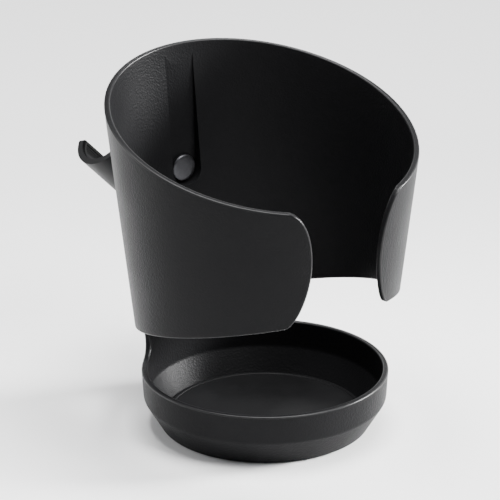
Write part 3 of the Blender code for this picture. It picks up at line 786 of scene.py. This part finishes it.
def start_material(name, **sockets):
    """An empty material with its shader: constant values go straight onto the shader's sockets."""
    mat_made = bpy.data.materials.new(name)
    mat_made.use_nodes = True
    tree = mat_made.node_tree
    shader = tree.nodes["Principled BSDF"]
    for key, value in sockets.items():
        shader.inputs[key.replace("_", " ")].default_value = value
    place = add_node(tree, "ShaderNodeTexCoord")
    return mat_made, tree, shader, place


def per_mm(size):
    """Texture scale that gives features of this size in millimetres, for coordinates in metres."""
    return 1.0 / (size * MM)


def dress(material_made, *pieces):
    for piece in pieces:
        piece.data.materials.clear()
        piece.data.materials.append(material_made)


print("one millimetre features need a scale of", per_mm(1.0))

# %% [markdown]
# ## Black moulded polypropylene
# The mould is spark eroded, which leaves a fine leather-like grain: pebbles about 0.6 mm across with soft valleys.
# The grain breaks the highlight into a satin sheen, and a noise a few centimetres wide changes the gloss a little, as
# handling does. The rounded rims lie on the mould's parting line, which is polished and not eroded, so they have a
# second, smoother material.

# %% Polypropylene
def grained_plastic(name, dark, light, rough, grain_size, depth, gloss_swing=0.06, level=0.5):
    made, tree, shader, place = start_material(name, Metallic=0.0, IOR=1.49)
    shader.inputs["Specular IOR Level"].default_value = level
    pebbles = add_node(tree, "ShaderNodeTexVoronoi", {"Scale": per_mm(grain_size), "Randomness": 1.0},
                       {"Vector": (place, "Object")}, feature="SMOOTH_F1")
    pebbles.inputs["Smoothness"].default_value = 0.6
    fine = add_node(tree, "ShaderNodeTexNoise", {"Scale": per_mm(grain_size * 0.55), "Detail": 2.0},
                    {"Vector": (place, "Object")})
    relief = add_node(tree, "ShaderNodeMath", {2: 0.0}, {0: (pebbles, "Distance"), 1: (fine, "Fac")},
                      operation="ADD")
    bump = add_node(tree, "ShaderNodeBump", {"Strength": 0.6, "Distance": depth * MM}, {"Height": (relief, "Value")})
    tree.links.new(bump.outputs["Normal"], shader.inputs["Normal"])
    patch = add_node(tree, "ShaderNodeTexNoise", {"Scale": per_mm(28.0), "Detail": 3.0, "Roughness": 0.55},
                     {"Vector": (place, "Object")})
    gloss = add_node(tree, "ShaderNodeMapRange", {"From Min": 0.3, "From Max": 0.7, "To Min": rough - gloss_swing,
                     "To Max": rough + gloss_swing}, {"Value": (patch, "Fac")})
    tree.links.new(gloss.outputs["Result"], shader.inputs["Roughness"])
    tone = add_node(tree, "ShaderNodeMix", {"A": linear(dark), "B": linear(light)}, {"Factor": (fine, "Fac")},
                    data_type="RGBA")
    tree.links.new(tone.outputs["Result"], shader.inputs["Base Color"])
    return made


moulded = grained_plastic("black moulded polypropylene", "#101011", "#161617", 0.42, 0.75, 0.12, 0.04, 0.06)
rims = [f.index for f in holder.data.polygons if f.material_index == 1 and f.center.z > (CREASE_HEIGHT + 5) * MM]
dress(moulded, holder)
polished = grained_plastic("black polypropylene, polished rim", "#111112", "#171718", 0.36, 0.75, 0.02, 0.04, 0.26)
holder.data.materials.append(polished)
for index in rims:
    holder.data.polygons[index].material_index = 1
print("moulding dressed;", len(rims), "rim faces")

# %% [markdown]
# ## Glass filled nylon
# The clamp's frame, the knob and the pad's foot are nylon with glass fibre. Fibre near the surface leaves it a
# little greyer and flatter than the holder, with short flow streaks, so its noise is stretched along the strip.

# %% Nylon
def filled_nylon():
    made, tree, shader, place = start_material("black glass filled nylon", Metallic=0.0, IOR=1.53)
    shader.inputs["Specular IOR Level"].default_value = 0.16
    squeeze = add_node(tree, "ShaderNodeMapping", {"Scale": (0.35, 1.0, 1.0)}, {"Vector": (place, "Object")})
    streaks = add_node(tree, "ShaderNodeTexNoise", {"Scale": per_mm(0.9), "Detail": 4.0, "Roughness": 0.6},
                       {"Vector": (squeeze, "Vector")})
    bump = add_node(tree, "ShaderNodeBump", {"Strength": 0.3, "Distance": 0.04 * MM}, {"Height": (streaks, "Fac")})
    tree.links.new(bump.outputs["Normal"], shader.inputs["Normal"])
    tone = add_node(tree, "ShaderNodeMix", {"A": linear("#111112"), "B": linear("#1a1a1b")},
                    {"Factor": (streaks, "Fac")}, data_type="RGBA")
    tree.links.new(tone.outputs["Result"], shader.inputs["Base Color"])
    patch = add_node(tree, "ShaderNodeTexNoise", {"Scale": per_mm(14.0), "Detail": 2.0},
                     {"Vector": (place, "Object")})
    gloss = add_node(tree, "ShaderNodeMapRange", {"From Min": 0.3, "From Max": 0.7, "To Min": 0.42, "To Max": 0.54},
                     {"Value": (patch, "Fac")})
    tree.links.new(gloss.outputs["Result"], shader.inputs["Roughness"])
    return made


nylon = filled_nylon()
node_object = frame["nodes"]
dress(nylon, clamp, knob, node_object["pad_foot"])
print("nylon on the clamp, the knob and the pad's foot")

# %% [markdown]
# ## Rubber
# Moulded rubber is matt and very dark, with a dusty bloom in patches. The mat on the tray's floor was cut from
# calendered sheet, so it is smoother and shows a soft sheen; the grips are coarser.

# %% Rubber
def rubber(name, dark, bloom, rough, grain, depth, level):
    made, tree, shader, place = start_material(name, Metallic=0.0, IOR=1.51)
    shader.inputs["Specular IOR Level"].default_value = level
    dust = add_node(tree, "ShaderNodeTexNoise", {"Scale": per_mm(9.0), "Detail": 5.0, "Roughness": 0.65},
                    {"Vector": (place, "Object")})
    tone = add_node(tree, "ShaderNodeMix", {"A": linear(dark), "B": linear(bloom)}, {"Factor": (dust, "Fac")},
                    data_type="RGBA")
    tree.links.new(tone.outputs["Result"], shader.inputs["Base Color"])
    gloss = add_node(tree, "ShaderNodeMapRange", {"From Min": 0.3, "From Max": 0.7, "To Min": rough - 0.05,
                     "To Max": rough + 0.05}, {"Value": (dust, "Fac")})
    tree.links.new(gloss.outputs["Result"], shader.inputs["Roughness"])
    skin = add_node(tree, "ShaderNodeTexNoise", {"Scale": per_mm(grain), "Detail": 2.0},
                    {"Vector": (place, "Object")})
    bump = add_node(tree, "ShaderNodeBump", {"Strength": 0.3, "Distance": depth * MM}, {"Height": (skin, "Fac")})
    tree.links.new(bump.outputs["Normal"], shader.inputs["Normal"])
    return made


dress(rubber("black calendered rubber mat", "#0d0d0e", "#151516", 0.5, 0.5, 0.02, 0.12), mat)
dress(rubber("dark grey moulded rubber", "#161617", "#202021", 0.72, 0.35, 0.04, 0.4), liner, node_object["pad_face"])
print("rubber on the mat, the cradle's liner and the pad")

# %% [markdown]
# ## Metals
# There are three finishes. The bolt is black oxide steel, grey and faintly mottled where the oxide took unevenly.
# The screw, the nuts and the washers are zinc plated, bright with turning marks, and the insert is turned brass.
# Turning marks are rings round the piece's own axis, so a Mapping node first turns the coordinates onto that axis.

# %% Black oxide
def black_oxide():
    made, tree, shader, place = start_material("black oxide steel", Metallic=1.0)
    cloud = add_node(tree, "ShaderNodeTexNoise", {"Scale": per_mm(1.6), "Detail": 6.0, "Roughness": 0.7},
                     {"Vector": (place, "Object")})
    tone = add_node(tree, "ShaderNodeMix", {"A": linear("#333335"), "B": linear("#545457")},
                    {"Factor": (cloud, "Fac")}, data_type="RGBA")
    tree.links.new(tone.outputs["Result"], shader.inputs["Base Color"])
    gloss = add_node(tree, "ShaderNodeMapRange", {"From Min": 0.35, "From Max": 0.65, "To Min": 0.34, "To Max": 0.5},
                     {"Value": (cloud, "Fac")})
    tree.links.new(gloss.outputs["Result"], shader.inputs["Roughness"])
    bump = add_node(tree, "ShaderNodeBump", {"Strength": 0.2, "Distance": 0.02 * MM}, {"Height": (cloud, "Fac")})
    tree.links.new(bump.outputs["Normal"], shader.inputs["Normal"])
    return made


dress(black_oxide(), bolt)
print("black oxide on the bolt")


# %% Turned metal
def turned_metal(name, dark, light, rough, centre, turn):
    """Rings 0.25 mm apart round an axis through centre (metres), along Z once turned by the given angles."""
    made, tree, shader, place = start_material(name, Metallic=1.0)
    shift = add_node(tree, "ShaderNodeMapping", {"Location": tuple(-c for c in centre)},
                     {"Vector": (place, "Object")})
    onto_axis = add_node(tree, "ShaderNodeMapping", {"Rotation": turn}, {"Vector": (shift, "Vector")})
    rings = add_node(tree, "ShaderNodeTexWave", {"Scale": per_mm(0.25) / 20, "Distortion": 1.0, "Detail": 2.0},
                     {"Vector": (onto_axis, "Vector")}, wave_type="RINGS", rings_direction="Z")
    cloud = add_node(tree, "ShaderNodeTexNoise", {"Scale": per_mm(2.5), "Detail": 4.0}, {"Vector": (place, "Object")})
    tone = add_node(tree, "ShaderNodeMix", {"A": linear(dark), "B": linear(light)}, {"Factor": (cloud, "Fac")},
                    data_type="RGBA")
    tree.links.new(tone.outputs["Result"], shader.inputs["Base Color"])
    gloss = add_node(tree, "ShaderNodeMapRange", {"To Min": rough - 0.06, "To Max": rough + 0.06},
                     {"Value": (rings, "Fac")})
    tree.links.new(gloss.outputs["Result"], shader.inputs["Roughness"])
    bump = add_node(tree, "ShaderNodeBump", {"Strength": 0.15, "Distance": 0.01 * MM}, {"Height": (rings, "Fac")})
    tree.links.new(bump.outputs["Normal"], shader.inputs["Normal"])
    return made


along_bolt = (math.pi / 2, 0.0, 0.0)
along_screw = (0.0, -tilt, 0.0)
on_bolt, on_screw = (0.0, 0.0, BOLT_HEIGHT * MM), (0.0, CHANNEL_Y * MM, BOLT_HEIGHT * MM)
zinc_bolt = turned_metal("zinc plated steel, washers and nut", "#b4b6b9", "#d0d2d4", 0.3, on_bolt, along_bolt)
zinc_screw = turned_metal("zinc plated steel, screw", "#b4b6b9", "#d0d2d4", 0.28, on_screw, along_screw)
brass = turned_metal("turned brass", "#b8893c", "#d9b064", 0.26, on_screw, along_screw)
dress(zinc_bolt, node_object["wave_washer"], node_object["flat_washer"], node_object["lock_nut"])
dress(zinc_screw, screw, node_object["pad_keeper"], node_object["spindle_nut"])
dress(brass, node_object["thread_insert"])
print("zinc on the screw, the nuts, the washers and the keeper; brass on the insert")

# %% [markdown]
# ## Acetal and the cap's plastic
# The friction disc and the nut's locking ring are natural acetal: off-white, slightly waxy, so a little light goes
# in and comes back warmer. The cap is a dark grey snap-in disc, polished in its mould.

# %% Acetal and cap
def waxy_acetal():
    made, tree, shader, place = start_material("natural acetal", Metallic=0.0, IOR=1.48)
    shader.inputs["Subsurface Weight"].default_value = 0.15
    shader.inputs["Subsurface Radius"].default_value = (0.0012, 0.001, 0.0008)
    cloud = add_node(tree, "ShaderNodeTexNoise", {"Scale": per_mm(3.0), "Detail": 3.0}, {"Vector": (place, "Object")})
    tone = add_node(tree, "ShaderNodeMix", {"A": linear("#d9d5c9"), "B": linear("#e6e2d7")},
                    {"Factor": (cloud, "Fac")}, data_type="RGBA")
    tree.links.new(tone.outputs["Result"], shader.inputs["Base Color"])
    gloss = add_node(tree, "ShaderNodeMapRange", {"To Min": 0.36, "To Max": 0.5}, {"Value": (cloud, "Fac")})
    tree.links.new(gloss.outputs["Result"], shader.inputs["Roughness"])
    return made


dress(waxy_acetal(), node_object["index_disc"], node_object["nut_locking_ring"])
dress(grained_plastic("dark grey cap plastic", "#39393b", "#424244", 0.3, 0.25, 0.01, 0.04), node_object["knob_cap"])
seen = [o for o in bpy.data.objects if o.type == "MESH" and not o.hide_render]
bare = [o.name for o in seen if not any(m and m.use_nodes for m in o.data.materials)]
print("pieces without a node material:", bare)

# %% [markdown]
# ## Camera, floor and light
# A long lens looks from a little above the front left. The light is a studio's, over a pale floor: a large soft box
# overhead, a key light high on the right, a tall soft box that draws the left edge, and a weak one behind. A box with
# a grid stands low on the right. Its narrow beam reaches the inside of the collar and of the tray, and spares the
# floor. The dark plastic shows mostly what it mirrors, so the boxes are broad and their edges soft.

# %% Camera
AZIMUTH, ELEVATION = -35.2, 21.74
DISTANCE, AIM = 1180.6, 63.85
a, e = math.radians(AZIMUTH), math.radians(ELEVATION)
back = Vector((math.sin(a) * math.cos(e), -math.cos(a) * math.cos(e), math.sin(e)))
camera = bpy.data.objects.new("camera", bpy.data.cameras.new("camera"))
bpy.context.scene.collection.objects.link(camera)
camera.location = Vector((0, 0, AIM * MM)) + back * DISTANCE * MM
camera.rotation_euler = (-back).to_track_quat("-Z", "Y").to_euler()
camera.data.lens = 247.0
camera.data.sensor_width = 36.0
camera.data.shift_x = -0.03
camera.data.clip_start, camera.data.clip_end = 0.05, 20
bpy.context.scene.camera = camera
print("camera at", [round(c, 3) for c in camera.location])


# %% Soft boxes
def area_light(name, place, aim, size, power, spread=180):
    """A soft box aimed at a point, in metres and watts. A grid on it narrows the beam to the spread, in degrees."""
    data = bpy.data.lights.new(name, "AREA")
    data.spread = math.radians(spread)
    data.shape = "RECTANGLE"
    data.size, data.size_y = size
    data.energy = power
    lamp = bpy.data.objects.new(name, data)
    bpy.context.scene.collection.objects.link(lamp)
    lamp.location = place
    lamp.rotation_euler = (Vector(place) - Vector(aim)).to_track_quat("Z", "Y").to_euler()


bpy.ops.mesh.primitive_circle_add(vertices=64, radius=6.0, fill_type="NGON", location=(0, 0, -0.0002))
floor = new_piece("floor")
settle(floor)
paper, paper_tree, paper_shader, paper_place = start_material("white studio paper", Roughness=0.9)
paper_shader.inputs["Specular IOR Level"].default_value = 0.1
fibre = add_node(paper_tree, "ShaderNodeTexNoise", {"Scale": per_mm(300.0)}, {"Vector": (paper_place, "Object")})
sheet_tone = add_node(paper_tree, "ShaderNodeMix", {"A": linear("#f7f7f7"), "B": linear("#fafafa")},
                      {"Factor": (fibre, "Fac")}, data_type="RGBA")
paper_tree.links.new(sheet_tone.outputs["Result"], paper_shader.inputs["Base Color"])
dress(paper, floor)
floor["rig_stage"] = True

world = bpy.data.worlds.new("studio")
bpy.context.scene.world = world
world.use_nodes = True
world.node_tree.nodes["Background"].inputs["Color"].default_value = (0.94, 0.96, 1.0, 1)
world.node_tree.nodes["Background"].inputs["Strength"].default_value = 0.25

side = Vector((math.cos(a), math.sin(a), 0))
away = Vector((-math.sin(a), math.cos(a), 0))
middle = Vector((0, 0, 0.07))
area_light("left_box", middle - side * 0.60 + away * 0.12 + Vector((0, 0, 0.12)), middle, (0.30, 0.7), 2.6)
area_light("key_box", middle + side * 0.45 - away * 0.30 + Vector((0, 0, 0.65)), middle, (0.3, 0.3), 8.0)
area_light("right_box", middle + side * 0.70 + away * 0.16 + Vector((0, 0, 0.20)), middle, (0.25, 0.2), 1.1, 28)
area_light("back_box", middle + away * 0.85 + side * 0.10 + Vector((0, 0, 0.30)), middle, (0.7, 0.35), 2.0)
area_light("top_box", middle + away * 0.1 + Vector((0, 0, 0.95)), middle, (0.6, 0.6), 22.0)

# %% Measure the visual box
low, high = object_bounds()
print("visual box in mm:", [round((b - a) * 1000, 1) for a, b in zip(low, high)])
